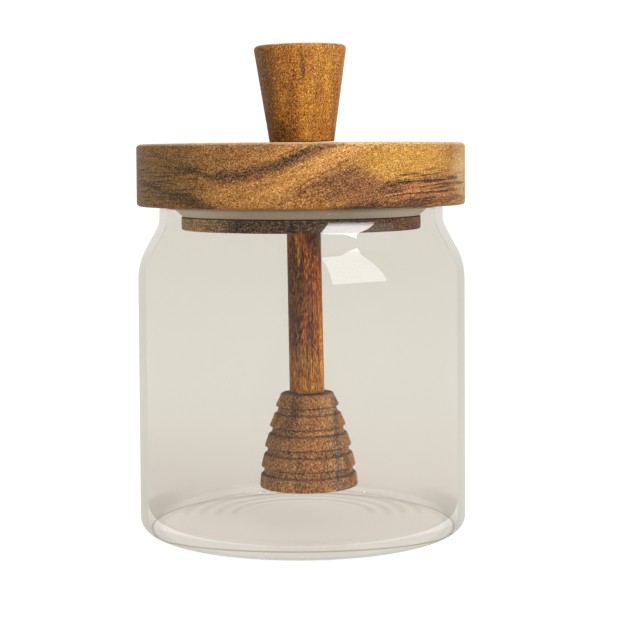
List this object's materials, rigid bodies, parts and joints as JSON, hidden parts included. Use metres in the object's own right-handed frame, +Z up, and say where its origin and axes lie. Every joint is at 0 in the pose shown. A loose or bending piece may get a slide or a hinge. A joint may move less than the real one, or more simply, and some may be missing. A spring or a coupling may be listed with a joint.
{
  "type": "glass honey pot",
  "caption": "Straight-sided clear glass jar with a short neck, a thick wooden lid with a sealed plug, and a wooden honey dipper that hangs through the lid.",
  "frame": {"origin": "centre of the base, on the surface that the pot stands on", "axes": "+Z up along the jar's axis; +X to the right in the picture; -Y towards the camera. The dipper leans a little in the XZ plane, its foot towards +X"},
  "size_m": [0.1004, 0.1004, 0.1478],
  "materials": {
    "clear_glass": "clear, smooth, faintly warm grey",
    "lid_wood": "oiled, turned, streaked brown and gold",
    "plug_wood": "oiled dark brown",
    "soft_seal": "soft, matte, milky",
    "handle_wood": "oiled, turned, golden brown",
    "dipper_wood": "oiled, turned, reddish brown"
  },
  "bodies": {
    "root": {"glass_jar": "clear_glass", "lid_disc": "lid_wood", "lid_plug": "plug_wood", "silicone_seal": "soft_seal", "dipper_handle": "handle_wood", "dipper_stem": "dipper_wood", "dipper_head": "dipper_wood"}
  },
  "joints": []
}
